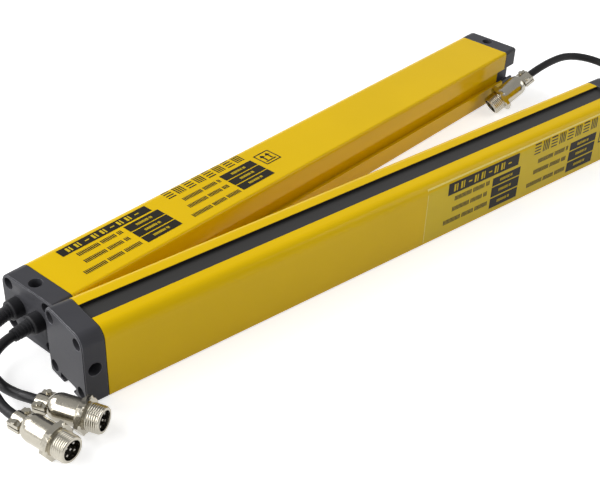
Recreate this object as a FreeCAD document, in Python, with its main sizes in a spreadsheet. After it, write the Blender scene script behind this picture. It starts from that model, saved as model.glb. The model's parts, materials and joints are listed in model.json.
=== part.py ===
import FreeCAD, Part
import math
import os
import re
import Sketcher

# Safety light curtain: a pair of equal bars, each an extruded aluminium housing closed by two moulded caps.
# The emitter lies on its back with its window up. The receiver lies on its side with its label side up.
# Each cable leaves a moulded gland in a cap and ends in a metal screw connector.
# Each bar is drawn in its own frame: x along the bar, y across the window, z from the back to the window.
# An end frame starts at the face of the housing and its x points out through the cap.
# A plug frame starts where the cable goes in and its x points to the open mouth.

# Each row of the sheet is a driving dimension: its name, its value in mm or degrees, and what it measures.
SIZES = (
    ("beam_count", 8, "light beams in each bar"),
    ("beam_pitch", 40, "distance between two beams"),
    ("beam_margin", 30, "from the end of the housing to the first beam"),
    ("bar_width", 30, "housing across its window"),
    ("bar_depth", 36, "housing from its back to its window side"),
    ("front_radius", 5.5, "round corners beside the window"),
    ("back_radius", 1.6, "round corners of the back"),
    ("side_wall", 2, "wall of the housing at its sides"),
    ("window_side", 9.625, "from the side of the bar to the open window"),
    ("window_recess", 1.5, "lips that stand over the window strip"),
    ("window_thickness", 2, "window strip"),
    ("window_grip", 2, "how far the strip reaches under each lip"),
    ("window_play", 0.1, "clearance of the strip in its groove"),
    ("throat_depth", 1.5, "ledges that carry the window strip"),
    ("slot_side", 10.8, "from the side of the bar to the mouth of the mounting slot in its back"),
    ("slot_lip", 1.4, "lips of the mounting slot"),
    ("slot_undercut", 2.2, "how far the slot widens behind each lip"),
    ("slot_depth", 4.4, "mounting slot from the back face"),
    ("slot_floor", 1.6, "wall between the slot and the room"),
    ("screw_edge", 4.2, "cap screws from the side of the bar"),
    ("screw_row", 5, "back screws from the back face"),
    ("screw_front", 5, "window screws from the window side"),
    ("port_meat", 3.3, "solid metal kept beside the axis of a screw"),
    ("screw_shank", 3, "thread of a cap screw"),
    ("screw_play", 0.1, "clearance round that thread"),
    ("screw_length", 12, "thread below the head"),
    ("screw_head", 5.2, "head across"),
    ("head_height", 2, "head along the screw"),
    ("socket_across", 2.5, "six-sided socket in the head"),
    ("socket_depth", 1.2, "depth of that socket"),
    ("counterbore", 5.8, "round recess for a screw head"),
    ("counterbore_depth", 6, "depth of that recess"),
    ("cap_thickness", 10.5, "moulded cap along the bar"),
    ("cap_wall", 2.5, "outer wall of the cap"),
    ("cap_edge", 0.5, "bevel round the outer face of the cap"),
    ("room_side", 8.5, "from the side of the bar to the room in the cap"),
    ("room_front", 6, "from the window side to the room in the cap"),
    ("side_hole", 6.5, "blind hole in the side of a cap"),
    ("side_hole_depth", 6, "depth of that hole"),
    ("side_hole_level", 18.2, "that hole from the back face"),
    ("gasket_thickness", 0.5, "rubber sheet between cap and housing"),
    ("gasket_inset", 0.3, "how far the gasket stays inside the outline"),
    ("board_level", 14, "underside of the circuit board from the back"),
    ("board_thickness", 1.6, "circuit board"),
    ("board_ledge", 1.2, "ledge that carries each edge of the board"),
    ("board_play", 0.2, "clearance beside the board"),
    ("board_gap", 1.5, "from the board to the end of the housing"),
    ("chip_side", 7, "driver chip"),
    ("chip_height", 1.2, "driver chip below the board"),
    ("header_length", 8, "cable header along the bar"),
    ("header_width", 12, "cable header across the bar"),
    ("header_height", 5, "cable header below the board"),
    ("header_gap", 6, "from the end of the board to the header"),
    ("carrier_play", 0.2, "clearance round the lens carrier"),
    ("carrier_web", 1.8, "flat web of the lens carrier"),
    ("tube_wall", 0.9, "light tube of the lens carrier beside the seat of the lens"),
    ("rail_wall", 2.2, "rail of the lens carrier beside the seat of the lens"),
    ("lens_play", 0.1, "clearance round the lens"),
    ("lens_shoulder", 0.6, "shoulder of the tube under the lens"),
    ("lens_depth", 3.2, "seat of the lens below the top of the carrier"),
    ("lens_rim", 1.2, "straight rim of the lens"),
    ("lens_rise", 1.6, "domed part of the lens"),
    ("diode_flange", 5.8, "foot of a diode"),
    ("diode_foot", 1, "height of that foot"),
    ("diode_play", 0.4, "clearance round that foot"),
    ("diode_diameter", 5, "body of a diode"),
    ("diode_body", 2.8, "straight body from the board"),
    ("gland_collar", 9.5, "moulded gland outside the cap"),
    ("gland_length", 5.5, "gland outside the cap"),
    ("gland_round", 1, "round outer edge of the gland"),
    ("gland_shank", 7, "gland in the wall of the cap"),
    ("gland_lock", 8.4, "flange behind that wall"),
    ("lock_length", 1.2, "that flange along the gland"),
    ("lock_recess", 0.4, "seat of that flange sunk in the wall"),
    ("lock_play", 0.1, "clearance round that flange"),
    ("gland_grip", 3, "how far the cable sits in the gland"),
    ("gland_middle", 18, "emitter gland from the back face, and the middle of the receiver pair"),
    ("gland_pitch", 14.4, "between the two receiver glands"),
    ("gland_side", 1.5, "receiver glands off the middle, toward the label side"),
    ("cable_diameter", 4.5, "cable jacket"),
    ("core_bore", 3.2, "hole for the bare cores"),
    ("clamp_length", 6, "cable clamp along the plug"),
    ("clamp_width", 10, "cable clamp across"),
    ("clamp_gap", 0.3, "from the middle plane to each half of the clamp"),
    ("clamp_ear", 2, "top of a clamp ear from the middle plane"),
    ("clamp_back", 3.3, "round back of each half of the clamp"),
    ("clamp_screw", 1.3, "thread of a clamp screw"),
    ("clamp_screw_head", 2.4, "head of a clamp screw"),
    ("clamp_head_height", 1, "height of that head"),
    ("clamp_spread", 7.7, "between the two clamp screws"),
    ("cable_grip", 4, "how far the cable sits in the clamp"),
    ("dome_length", 5, "tapered part of the plug shell"),
    ("neck_diameter", 8.4, "plug shell at the clamp"),
    ("shell_length", 9.5, "straight part of the plug shell"),
    ("shell_diameter", 12.2, "plug shell"),
    ("shell_wall", 1.3, "wall of that shell"),
    ("flange_length", 3, "six-sided flange along the plug"),
    ("flange_across", 15, "six-sided flange across its flats"),
    ("barrel_length", 7, "threaded barrel along the plug"),
    ("barrel_diameter", 12, "thread of the barrel"),
    ("barrel_bore", 8.8, "inside of the barrel"),
    ("spigot_length", 3.5, "back end of the barrel in the shell"),
    ("plug_play", 0.05, "clearance round the pieces in the plug"),
    ("insert_length", 6, "contact block in the barrel"),
    ("mouth_depth", 5.5, "from the mouth to the contact block"),
    ("key_width", 1.4, "coding key on the contact block"),
    ("key_height", 0.9, "that key up from the wall of the barrel"),
    ("pin_diameter", 1, "contact pin"),
    ("pin_circle", 5.5, "circle of the outer pins"),
    ("pin_front", 4.5, "pins in front of the contact block"),
    ("pin_back", 2, "pins behind the contact block"),
    ("rear_east", 5.14, "corner of the receiver from the corner of the emitter, along the emitter"),
    ("rear_gap", 2.73, "gap between the two bars at that corner"),
    ("rear_angle", 9.234, "turn of the receiver"),
    ("plug_1_east", -17.2, "cable inlet of the far receiver plug, from the front corner of the emitter"),
    ("plug_1_north", 8.4, "the same, toward the back"),
    ("plug_1_heading", -60, "direction of its mouth"),
    ("plug_2_east", -28.9, "cable inlet of the near receiver plug, from the same corner"),
    ("plug_2_north", 4.8, "the same, toward the back"),
    ("plug_2_heading", -73.7, "direction of its mouth"),
    ("plug_3_inset", 11.9, "cable inlet of the emitter plug, from the end of the receiver"),
    ("plug_3_off", 18.04, "the same, from the back of the receiver"),
    ("plug_3_heading", 156.766, "direction of its mouth, from that of the receiver"),
    ("plug_3_tilt", 33, "how far its mouth points down"),
)

# Sizes that follow from the sheet, written once and used by name.
DERIVED = {
    "profile_length": "((beam_count - 1) * beam_pitch + 2 * beam_margin)",
    "cap_stack": "(cap_thickness + gasket_thickness)",
    "bar_length": "(profile_length + 2 * cap_stack)",
    "first_beam": "(cap_stack + beam_margin)",
    "strip_bottom": "(bar_depth - window_recess - window_thickness - window_play)",
    "ledge_bottom": "(strip_bottom - throat_depth)",
    "window_mouth": "(bar_width - 2 * window_side)",
    "slot_mouth": "(bar_width - 2 * slot_side)",
    "slot_width": "(slot_mouth + 2 * slot_undercut)",
    "room_floor": "(slot_depth + slot_floor)",
    "screw_spread": "(bar_width - 2 * screw_edge)",
    "high_screw_row": "(bar_depth - screw_front)",
    "low_port_top": "(screw_row + port_meat)",
    "high_port_bottom": "(high_screw_row - port_meat)",
    "neck_width": "(screw_spread - 2 * port_meat)",
    "inner_width": "(bar_width - 2 * side_wall)",
    "cap_room": "(bar_width - 2 * room_side)",
    "cap_room_top": "(bar_depth - room_front)",
    "lock_seat": "(cap_wall - lock_recess)",
    "board_top": "(board_level + board_thickness)",
    "board_start": "(cap_stack + board_gap)",
    "board_length": "(profile_length - 2 * board_gap)",
    "web_top": "(high_port_bottom - carrier_play)",
    "web_bottom": "(web_top - carrier_web)",
    "rail_top": "(ledge_bottom - carrier_play)",
    "lens_seat": "(rail_top - lens_depth)",
    "rail_width": "(neck_width - 2 * carrier_play)",
    "lens_bore": "(rail_width - 2 * rail_wall)",
    "lens_diameter": "(lens_bore - 2 * lens_play)",
    "tube_inlet": "(diode_flange + 2 * diode_play)",
    "tube_outlet": "(lens_bore - 2 * lens_shoulder)",
    "tube_diameter": "(lens_bore + 2 * tube_wall)",
    "head_seat": "(cap_stack - counterbore_depth)",
    "shell_end": "(clamp_length + dome_length + shell_length)",
    "flange_end": "(shell_end + flange_length)",
    "plug_length": "(flange_end + barrel_length)",
    "insert_front": "(plug_length - mouth_depth)",
    "rear_north": "(bar_width + rear_gap)",
    "origin_east": "((min(0; rear_east - bar_depth * sin(rear_angle))"
                   " + max(bar_length; rear_east + bar_length * cos(rear_angle))) / 2)",
    "origin_north": "(max(bar_width; rear_north + bar_length * sin(rear_angle)"
                    " + bar_depth * cos(rear_angle)) / 2)",
}

# Each cable runs on through these points: east and north of its gland, and height above the floor.
CABLE_POINTS = {
    "receiver_cable_1": (
        (-17.7, -5.6, 12.6),
        (-22.4, -12.0, 8.6),
        (-24.9, -20.4, 5.6),
        (-25.0, -29.4, 4.6),
        (-22.4, -39.0, 5.6),
    ),
    "receiver_cable_2": (
        (-19.7, -4.0, 16.3),
        (-26.8, -8.0, 14.8),
        (-31.6, -14.4, 12.2),
        (-34.0, -22.6, 9.4),
    ),
    "emitter_cable": (
        (20.5, 2.6, 19.3),
        (28.3, 7.4, 20.8),
        (33.6, 15.0, 22.6),
        (35.6, 24.4, 24.6),
        (34.1, 34.2, 26.6),
        (29.0, 43.0, 28.2),
        (21.2, 49.4, 29.2),
        (12.0, 52.4, 28.9),
    ),
}
RUN_FROM_GLAND = 5.5
RUN_TO_PLUG = 5.6
ARC_SHARE = 0.45

doc = FreeCAD.newDocument("LightCurtain")
sheet = doc.addObject("Spreadsheet::Sheet", "Sizes")
for row, (alias, amount, note) in enumerate(SIZES, start=1):
    sheet.set("A%d" % row, alias)
    sheet.set("B%d" % row, str(amount))
    sheet.set("C%d" % row, note)
    sheet.setAlias("B%d" % row, alias)
doc.recompute()
SHEET_NAMES = {alias for alias, amount, note in SIZES}
nodes = []


def formula(text):
    """Write a rule such as bar_width / 2 so that it reads the cells of the sheet."""
    def word(match):
        name = match.group()
        if name in DERIVED:
            return formula(DERIVED[name])
        return "Sizes." + name if name in SHEET_NAMES else name
    return re.sub(r"(?<![\w.])[a-z]\w*", word, text)


def number(text):
    """The present value of such a rule."""
    return float(sheet.evalExpression(formula(text)))


def new_body(name, place):
    """A sub-part of its own, placed by a rule."""
    body = doc.addObject("PartDesign::Body", name)
    body.Label = name
    body.setExpression("Placement", formula(place))
    nodes.append(body)
    return body


def sketch_on(body, role, name, lift="0", along="0"):
    """A sketch on an origin plane of its own body, lifted off it and shifted along its first axis."""
    sketch = body.newObject("Sketcher::SketchObject", name)
    plane = next(item for item in body.Origin.OriginFeatures if item.Role == role)
    sketch.AttachmentSupport = [(plane, "")]
    sketch.MapMode = "FlatFace"
    sketch.setExpression("AttachmentOffset.Base.z", formula(lift))
    sketch.setExpression("AttachmentOffset.Base.x", formula(along))
    return sketch


def pin_point(sketch, item, end, across, up):
    """Hold one point of a sketch at two rules measured from the origin of the sketch."""
    for kind, rule, axis in (("DistanceX", across, -2), ("DistanceY", up, -1)):
        amount = number(rule)
        if abs(amount) < 1e-9:
            sketch.addConstraint(Sketcher.Constraint("PointOnObject", item, end, axis))
            continue
        if amount > 0:
            held = sketch.addConstraint(Sketcher.Constraint(kind, -1, 1, item, end, amount))
            rule = formula(rule)
        else:
            held = sketch.addConstraint(Sketcher.Constraint(kind, item, end, -1, 1, -amount))
            rule = "-(" + formula(rule) + ")"
        sketch.setExpression("Constraints[%d]" % held, rule)


def outline(sketch, corners, rounds=None):
    """A closed outline through corners given as rules. A round side goes to the left of its way."""
    rounds = rounds or {}
    spots = [FreeCAD.Vector(number(across), number(up), 0) for across, up in corners]
    items = []
    for index, spot in enumerate(spots):
        following = spots[(index + 1) % len(spots)]
        if index not in rounds:
            items.append(sketch.addGeometry(Part.LineSegment(spot, following), False))
            continue
        radius = number(rounds[index])
        chord = following - spot
        side = FreeCAD.Vector(-chord.y, chord.x, 0).normalize()
        reach = math.sqrt(max(radius ** 2 - (chord.Length / 2) ** 2, 0))
        middle = spot + chord * 0.5 + side * reach
        first = math.atan2(spot.y - middle.y, spot.x - middle.x)
        last = math.atan2(following.y - middle.y, following.x - middle.x)
        circle = Part.Circle(middle, FreeCAD.Vector(0, 0, 1), radius)
        items.append(sketch.addGeometry(Part.ArcOfCircle(circle, first, last), False))
    for index, item in enumerate(items):
        following = items[(index + 1) % len(items)]
        sketch.addConstraint(Sketcher.Constraint("Coincident", item, 2, following, 1))
        pin_point(sketch, item, 1, *corners[index])
        if index in rounds:
            held = sketch.addConstraint(Sketcher.Constraint("Radius", item, number(rounds[index])))
            sketch.setExpression("Constraints[%d]" % held, formula(rounds[index]))


def slab(sketch, width, low, high):
    """A rectangle of a given width about the middle, between two levels."""
    half = "%s / 2" % width
    outline(sketch, (("-" + half, low), (half, low), (half, high), ("-" + half, high)))


def circle(sketch, across, up, diameter):
    """A full circle at two rules."""
    spot = FreeCAD.Vector(number(across), number(up), 0)
    ring = Part.Circle(spot, FreeCAD.Vector(0, 0, 1), number(diameter) / 2)
    item = sketch.addGeometry(ring, False)
    pin_point(sketch, item, 3, across, up)
    held = sketch.addConstraint(Sketcher.Constraint("Diameter", item, number(diameter)))
    sketch.setExpression("Constraints[%d]" % held, formula(diameter))


def hexagon(sketch, across, up, flats, turn=0):
    """Six sides about a point, given by the distance across the flats."""
    corners = []
    for step in range(6):
        angle = turn + 60 * step
        corners.append(("%s + %s / 2 / cos(30) * cos(%d)" % (across, flats, angle),
                        "%s + %s / 2 / cos(30) * sin(%d)" % (up, flats, angle)))
    outline(sketch, corners)


def bar_outline(sketch, inset="0"):
    """The outside of a bar: large round corners beside the window and small ones at the back."""
    side = "(bar_width / 2 - %s)" % inset
    back = "(back_radius - %s)" % inset
    front = "(front_radius - %s)" % inset
    bottom = inset
    top = "(bar_depth - %s)" % inset
    corners = (
        ("-(%s - %s)" % (side, back), bottom),
        ("%s - %s" % (side, back), bottom),
        (side, "%s + %s" % (bottom, back)),
        (side, "%s - %s" % (top, front)),
        ("%s - %s" % (side, front), top),
        ("-(%s - %s)" % (side, front), top),
        ("-" + side, "%s - %s" % (top, front)),
        ("-" + side, "%s + %s" % (bottom, back)),
    )
    outline(sketch, corners, {1: back, 3: front, 5: front, 7: back})


def pad(body, name, sketch, length, backward=False, taper=0):
    """Raise a sketch into a solid, drawn in at its sides where a taper is given."""
    feature = body.newObject("PartDesign::Pad", name)
    feature.Profile = sketch
    feature.Reversed = backward
    feature.TaperAngle = taper
    feature.setExpression("Length", formula(length))
    doc.recompute()
    return feature


def pocket(body, name, sketch, depth=None, forward=True):
    """Cut a sketch into the solid, right through where no depth is given, and test that it cut."""
    before = body.Shape.Volume
    feature = body.newObject("PartDesign::Pocket", name)
    feature.Profile = sketch
    feature.Reversed = forward
    if depth is None:
        feature.Type = "ThroughAll"
    else:
        feature.setExpression("Length", formula(depth))
    doc.recompute()
    if feature.Shape.Volume >= before:
        raise RuntimeError(name + " cuts nothing")
    return feature


def turn(body, name, sketch, axis, kind="PartDesign::Revolution"):
    """Turn a sketch once round one of its own axes, to add a solid or, as a groove, to cut one."""
    feature = body.newObject(kind, name)
    feature.Profile = sketch
    feature.ReferenceAxis = (sketch, [axis])
    feature.Angle = 360
    doc.recompute()
    return feature


def per_beam(body, name, feature):
    """Repeat a feature at every beam."""
    pattern = body.newObject("PartDesign::LinearPattern", name)
    pattern.Originals = [feature]
    way = next(item for item in body.Origin.OriginFeatures if item.Role == "X_Axis")
    pattern.Direction = (way, [""])
    pattern.Mode = "Spacing"
    pattern.setExpression("Offset", formula("beam_pitch"))
    pattern.setExpression("Occurrences", formula("beam_count"))
    body.Tip = pattern
    doc.recompute()


def screw_places():
    """The four cap screws, across the bar and up from its back."""
    return [(side + "screw_spread / 2", level)
            for side in ("", "-") for level in ("screw_row", "high_screw_row")]


def slot_cuts(body, start, low="0"):
    """The mounting slot of the back: an open mouth and a wider space behind two lips."""
    mouth = sketch_on(body, "YZ_Plane", "slot_mouth_outline", start)
    slab(mouth, "slot_mouth", low, "slot_depth")
    pocket(body, "slot_mouth_cut", mouth)
    undercut = sketch_on(body, "YZ_Plane", "slot_width_outline", start)
    slab(undercut, "slot_width", "slot_lip", "slot_depth")
    pocket(body, "slot_width_cut", undercut)


EMITTER_CORNER = "placement(vector(-origin_east; -origin_north; 0); rotation(vector(0; 0; 1); 0))"
RECEIVER_CORNER = ("placement(vector(rear_east - origin_east; rear_north - origin_north; 0);"
                   " rotation(vector(0; 0; 1); rear_angle))")
BAR_PLACE = {
    "emitter": EMITTER_CORNER + " * placement(vector(0; bar_width / 2; 0); rotation(vector(0; 0; 1); 0))",
    "receiver": RECEIVER_CORNER + " * placement(vector(0; 0; bar_width / 2); rotation(vector(1; 0; 0); -90))",
}
END_PLACE = {
    "left": " * placement(vector(cap_stack; 0; 0); rotation(vector(0; 0; 1); 180))",
    "right": " * placement(vector(cap_stack + profile_length; 0; 0); rotation(vector(0; 0; 1); 0))",
}


def housing(bar):
    """Extruded aluminium: room for the optics, window channel, mounting slot and four screw ports."""
    body = new_body(bar + "_housing", BAR_PLACE[bar])
    section = sketch_on(body, "YZ_Plane", "section", "cap_stack")
    bar_outline(section)
    pad(body, "extrusion", section, "profile_length")
    rooms = (
        ("throat", "window_mouth", "ledge_bottom", "bar_depth"),
        ("strip_groove", "(window_mouth + 2 * window_grip)", "strip_bottom", "bar_depth - window_recess"),
        ("neck", "neck_width", "room_floor", "ledge_bottom"),
        ("lower_room", "(inner_width - 2 * board_ledge)", "low_port_top", "board_level"),
        ("upper_room", "inner_width", "board_level", "high_port_bottom"),
    )
    for name, width, low, high in rooms:
        opening = sketch_on(body, "YZ_Plane", name + "_outline", "cap_stack")
        slab(opening, width, low, high)
        pocket(body, name, opening)
    slot_cuts(body, "cap_stack")
    ports = sketch_on(body, "YZ_Plane", "screw_port_circles", "cap_stack")
    for across, up in screw_places():
        circle(ports, across, up, "screw_shank + 2 * screw_play")
    pocket(body, "screw_ports", ports)


def window(bar):
    """Dark strip that lets only the beams pass, held under the two lips of the housing."""
    body = new_body(bar + "_window", BAR_PLACE[bar])
    section = sketch_on(body, "YZ_Plane", "section", "cap_stack")
    slab(section, "(window_mouth + 2 * window_grip - 2 * window_play)",
         "strip_bottom", "strip_bottom + window_thickness")
    pad(body, "strip", section, "profile_length")


def gasket(bar, end, name):
    """Flat rubber sheet with the openings of the cap that it seals."""
    body = new_body("%s_%s" % (bar, name), BAR_PLACE[bar] + END_PLACE[end])
    section = sketch_on(body, "YZ_Plane", "section")
    bar_outline(section, "gasket_inset")
    pad(body, "sheet", section, "gasket_thickness")
    slot_cuts(body, "0", "gasket_inset")
    opening = sketch_on(body, "YZ_Plane", "opening_outline")
    slab(opening, "cap_room", "room_floor", "cap_room_top")
    pocket(body, "opening", opening)
    holes = sketch_on(body, "YZ_Plane", "screw_hole_circles")
    for across, up in screw_places():
        circle(holes, across, up, "screw_shank + 2 * screw_play")
    pocket(body, "screw_holes", holes)


def cap(bar, end, name, gland_spots):
    """Moulded cap: recessed screw holes, blind side holes, the slot run through and a room for the cores."""
    body = new_body("%s_%s" % (bar, name), BAR_PLACE[bar] + END_PLACE[end])
    section = sketch_on(body, "YZ_Plane", "section", "gasket_thickness")
    bar_outline(section)
    pad(body, "block", section, "cap_thickness - cap_edge")
    rim = sketch_on(body, "YZ_Plane", "rim_outline", "cap_stack - cap_edge")
    bar_outline(rim)
    pad(body, "rim", rim, "cap_edge", taper=-45)
    slot_cuts(body, "gasket_thickness")
    room = sketch_on(body, "YZ_Plane", "room_outline", "gasket_thickness")
    slab(room, "cap_room", "room_floor", "cap_room_top")
    pocket(body, "room", room, "cap_thickness - cap_wall")
    holes = sketch_on(body, "YZ_Plane", "screw_hole_circles", "gasket_thickness")
    recesses = sketch_on(body, "YZ_Plane", "screw_recess_circles", "cap_stack")
    for across, up in screw_places():
        circle(holes, across, up, "screw_shank + 2 * screw_play")
        circle(recesses, across, up, "counterbore")
    pocket(body, "screw_holes", holes)
    pocket(body, "screw_recesses", recesses, "counterbore_depth", forward=False)
    for side, lift, forward in (("label", "bar_width / 2", False), ("far", "-bar_width / 2", True)):
        hole = sketch_on(body, "XZ_Plane", side + "_side_circle", lift)
        circle(hole, "gasket_thickness + cap_thickness / 2", "side_hole_level", "side_hole")
        pocket(body, side + "_side_hole", hole, "side_hole_depth", forward)
    if gland_spots:
        bores = sketch_on(body, "YZ_Plane", "gland_circles", "gasket_thickness")
        for across, up in gland_spots:
            circle(bores, across, up, "gland_shank")
        pocket(body, "gland_bores", bores)
        seats = sketch_on(body, "YZ_Plane", "gland_seat_circles", "gasket_thickness")
        for across, up in gland_spots:
            circle(seats, across, up, "gland_lock + 2 * lock_play")
        pocket(body, "gland_seats", seats, "cap_thickness - lock_seat")


def cap_screws(bar, end, name):
    """Four socket head screws: heads at the bottom of their recesses, threads in the ports."""
    body = new_body("%s_%s" % (bar, name), BAR_PLACE[bar] + END_PLACE[end])
    heads = sketch_on(body, "YZ_Plane", "head_circles", "head_seat")
    shanks = sketch_on(body, "YZ_Plane", "shank_circles", "head_seat")
    sockets = sketch_on(body, "YZ_Plane", "socket_outlines", "head_seat + head_height")
    for across, up in screw_places():
        circle(heads, across, up, "screw_head")
        circle(shanks, across, up, "screw_shank")
        hexagon(sockets, across, up, "socket_across")
    pad(body, "heads", heads, "head_height")
    pad(body, "shanks", shanks, "screw_length", backward=True)
    pocket(body, "sockets", sockets, "socket_depth", forward=False)


def board(bar):
    """Circuit board on the two ledges of the housing."""
    body = new_body(bar + "_board", BAR_PLACE[bar])
    section = sketch_on(body, "YZ_Plane", "section", "board_start")
    slab(section, "(inner_width - 2 * board_play)", "board_level", "board_top")
    pad(body, "sheet", section, "board_length")


def chips(bar):
    """One driver chip under the board for every beam."""
    body = new_body(bar + "_board_chips", BAR_PLACE[bar])
    square = sketch_on(body, "XY_Plane", "square", "board_level - chip_height", "first_beam")
    slab(square, "chip_side", "-chip_side / 2", "chip_side / 2")
    per_beam(body, "row", pad(body, "chip", square, "chip_height"))


def header(bar, end):
    """Block under the board that takes the cores of the cables."""
    inset = "board_start + header_gap"
    if end == "right":
        inset = "bar_length - board_start - header_gap - header_length"
    body = new_body(bar + "_cable_header", BAR_PLACE[bar])
    block = sketch_on(body, "YZ_Plane", "section", inset)
    slab(block, "header_width", "board_level - header_height", "board_level")
    pad(body, "block", block, "header_length")


def lens_carrier(bar):
    """Black moulding: a web and a rail the length of the board, with a tapered light tube for each beam."""
    body = new_body(bar + "_lens_carrier", BAR_PLACE[bar])
    parts = (
        ("web", "(inner_width - 2 * carrier_play)", "web_bottom", "web_top"),
        ("rail", "rail_width", "web_top", "rail_top"),
    )
    for name, width, low, high in parts:
        section = sketch_on(body, "YZ_Plane", name + "_section", "board_start")
        slab(section, width, low, high)
        pad(body, name, section, "board_length")
    ring = sketch_on(body, "XY_Plane", "tube_circle", "board_top", "first_beam")
    circle(ring, "0", "0", "tube_diameter")
    per_beam(body, "tubes", pad(body, "tube", ring, "web_bottom - board_top"))
    bore = sketch_on(body, "XZ_Plane", "bore_outline", "0", "first_beam")
    outline(bore, (
        ("0", "board_top"),
        ("tube_inlet / 2", "board_top"),
        ("tube_outlet / 2", "lens_seat"),
        ("lens_bore / 2", "lens_seat"),
        ("lens_bore / 2", "rail_top"),
        ("0", "rail_top"),
    ))
    per_beam(body, "bores", turn(body, "bore", bore, "V_Axis", "PartDesign::Groove"))


def lenses(bar):
    """Flat-backed domed lens on the shoulder of each tube."""
    body = new_body(bar + "_lenses", BAR_PLACE[bar])
    half = sketch_on(body, "XZ_Plane", "half_section", "0", "first_beam")
    corners = (
        ("0", "lens_seat"),
        ("lens_diameter / 2", "lens_seat"),
        ("lens_diameter / 2", "lens_seat + lens_rim"),
        ("0", "lens_seat + lens_rim + lens_rise"),
    )
    ball = "((lens_diameter / 2) ^ 2 + lens_rise ^ 2) / (2 * lens_rise)"
    outline(half, corners, {2: ball})
    per_beam(body, "row", turn(body, "lens", half, "V_Axis"))


def diodes(bar):
    """Round light diode on the board under each lens."""
    body = new_body(bar + "_diodes", BAR_PLACE[bar])
    half = sketch_on(body, "XZ_Plane", "half_section", "0", "first_beam")
    corners = (
        ("0", "board_top"),
        ("diode_flange / 2", "board_top"),
        ("diode_flange / 2", "board_top + diode_foot"),
        ("diode_diameter / 2", "board_top + diode_foot"),
        ("diode_diameter / 2", "board_top + diode_body"),
        ("0", "board_top + diode_body + diode_diameter / 2"),
    )
    outline(half, corners, {4: "diode_diameter / 2"})
    per_beam(body, "row", turn(body, "diode", half, "V_Axis"))


def gland(name, bar, end, across, up):
    """Moulded strain relief: collar outside the cap, shank in its wall and a flange that locks it."""
    place = BAR_PLACE[bar] + END_PLACE[end]
    place += " * placement(vector(cap_stack; %s; %s); rotation(vector(0; 0; 1); 0))" % (across, up)
    body = new_body(name, place)
    half = sketch_on(body, "XY_Plane", "half_section")
    outline(half, (
        ("-lock_seat - lock_length", "core_bore / 2"),
        ("gland_length - gland_grip", "core_bore / 2"),
        ("gland_length - gland_grip", "cable_diameter / 2"),
        ("gland_length", "cable_diameter / 2"),
        ("gland_length", "gland_collar / 2 - gland_round"),
        ("gland_length - gland_round", "gland_collar / 2"),
        ("0", "gland_collar / 2"),
        ("0", "gland_shank / 2"),
        ("-lock_seat", "gland_shank / 2"),
        ("-lock_seat", "gland_lock / 2"),
        ("-lock_seat - lock_length", "gland_lock / 2"),
    ), {4: "gland_round"})
    turn(body, "moulding", half, "H_Axis")
    return body


def plug_place(corner, east, north, height, heading, tilt="0"):
    """Where a plug lies: off the corner of a bar, at a height, pointing along its heading."""
    return (corner + " * placement(vector(%s; %s; %s); rotation(vector(0; 0; 1); %s))"
            " * placement(vector(0; 0; 0); rotation(vector(0; 1; 0); %s))"
            % (east, north, height, heading, tilt))


def plug_shell(name, place):
    """Metal back shell: straight body, domed neck and the lower half of the cable clamp."""
    body = new_body(name + "_shell", place)
    half = sketch_on(body, "XY_Plane", "half_section")
    outline(half, (
        ("clamp_length", "core_bore / 2"),
        ("clamp_length + dome_length", "core_bore / 2"),
        ("clamp_length + dome_length", "shell_diameter / 2 - shell_wall"),
        ("shell_end", "shell_diameter / 2 - shell_wall"),
        ("shell_end", "shell_diameter / 2"),
        ("clamp_length + dome_length", "shell_diameter / 2"),
        ("clamp_length", "neck_diameter / 2"),
    ), {5: "dome_length * 1.4"})
    turn(body, "shell", half, "H_Axis")
    trough = sketch_on(body, "YZ_Plane", "trough_outline")
    clamp_outline(trough, "-")
    pad(body, "trough", trough, "clamp_length")
    bore = sketch_on(body, "YZ_Plane", "cable_circle")
    circle(bore, "0", "0", "cable_diameter")
    pocket(body, "cable_bore", bore, "cable_grip")
    cores = sketch_on(body, "YZ_Plane", "core_circle")
    circle(cores, "0", "0", "core_bore")
    pocket(body, "core_hole", cores, "clamp_length")
    holes = sketch_on(body, "XY_Plane", "clamp_screw_circles")
    for side in ("", "-"):
        circle(holes, "clamp_length / 2", side + "clamp_spread / 2", "clamp_screw")
    pocket(body, "clamp_screw_holes", holes, forward=False)


def clamp_outline(sketch, side):
    """One half of the cable clamp: two flat ears and a round back. The minus side is the lower half."""
    reach = "sqrt(clamp_back ^ 2 - clamp_ear ^ 2)"
    corners = [
        ("-clamp_width / 2", side + "clamp_gap"),
        ("clamp_width / 2", side + "clamp_gap"),
        ("clamp_width / 2", side + "clamp_ear"),
        (reach, side + "clamp_ear"),
        ("-" + reach, side + "clamp_ear"),
        ("-clamp_width / 2", side + "clamp_ear"),
    ]
    back = 3
    if side == "-":
        corners.reverse()
        back = 1
    outline(sketch, corners, {back: "clamp_back"})


def plug_clamp(name, place):
    """Upper half of the cable clamp."""
    body = new_body(name + "_clamp", place)
    saddle = sketch_on(body, "YZ_Plane", "saddle_outline")
    clamp_outline(saddle, "")
    pad(body, "saddle", saddle, "clamp_length - plug_play")
    bore = sketch_on(body, "YZ_Plane", "cable_circle")
    circle(bore, "0", "0", "cable_diameter")
    pocket(body, "cable_bore", bore)
    holes = sketch_on(body, "XY_Plane", "clamp_screw_circles")
    for side in ("", "-"):
        circle(holes, "clamp_length / 2", side + "clamp_spread / 2", "clamp_screw + 2 * plug_play")
    pocket(body, "clamp_screw_holes", holes)


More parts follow.
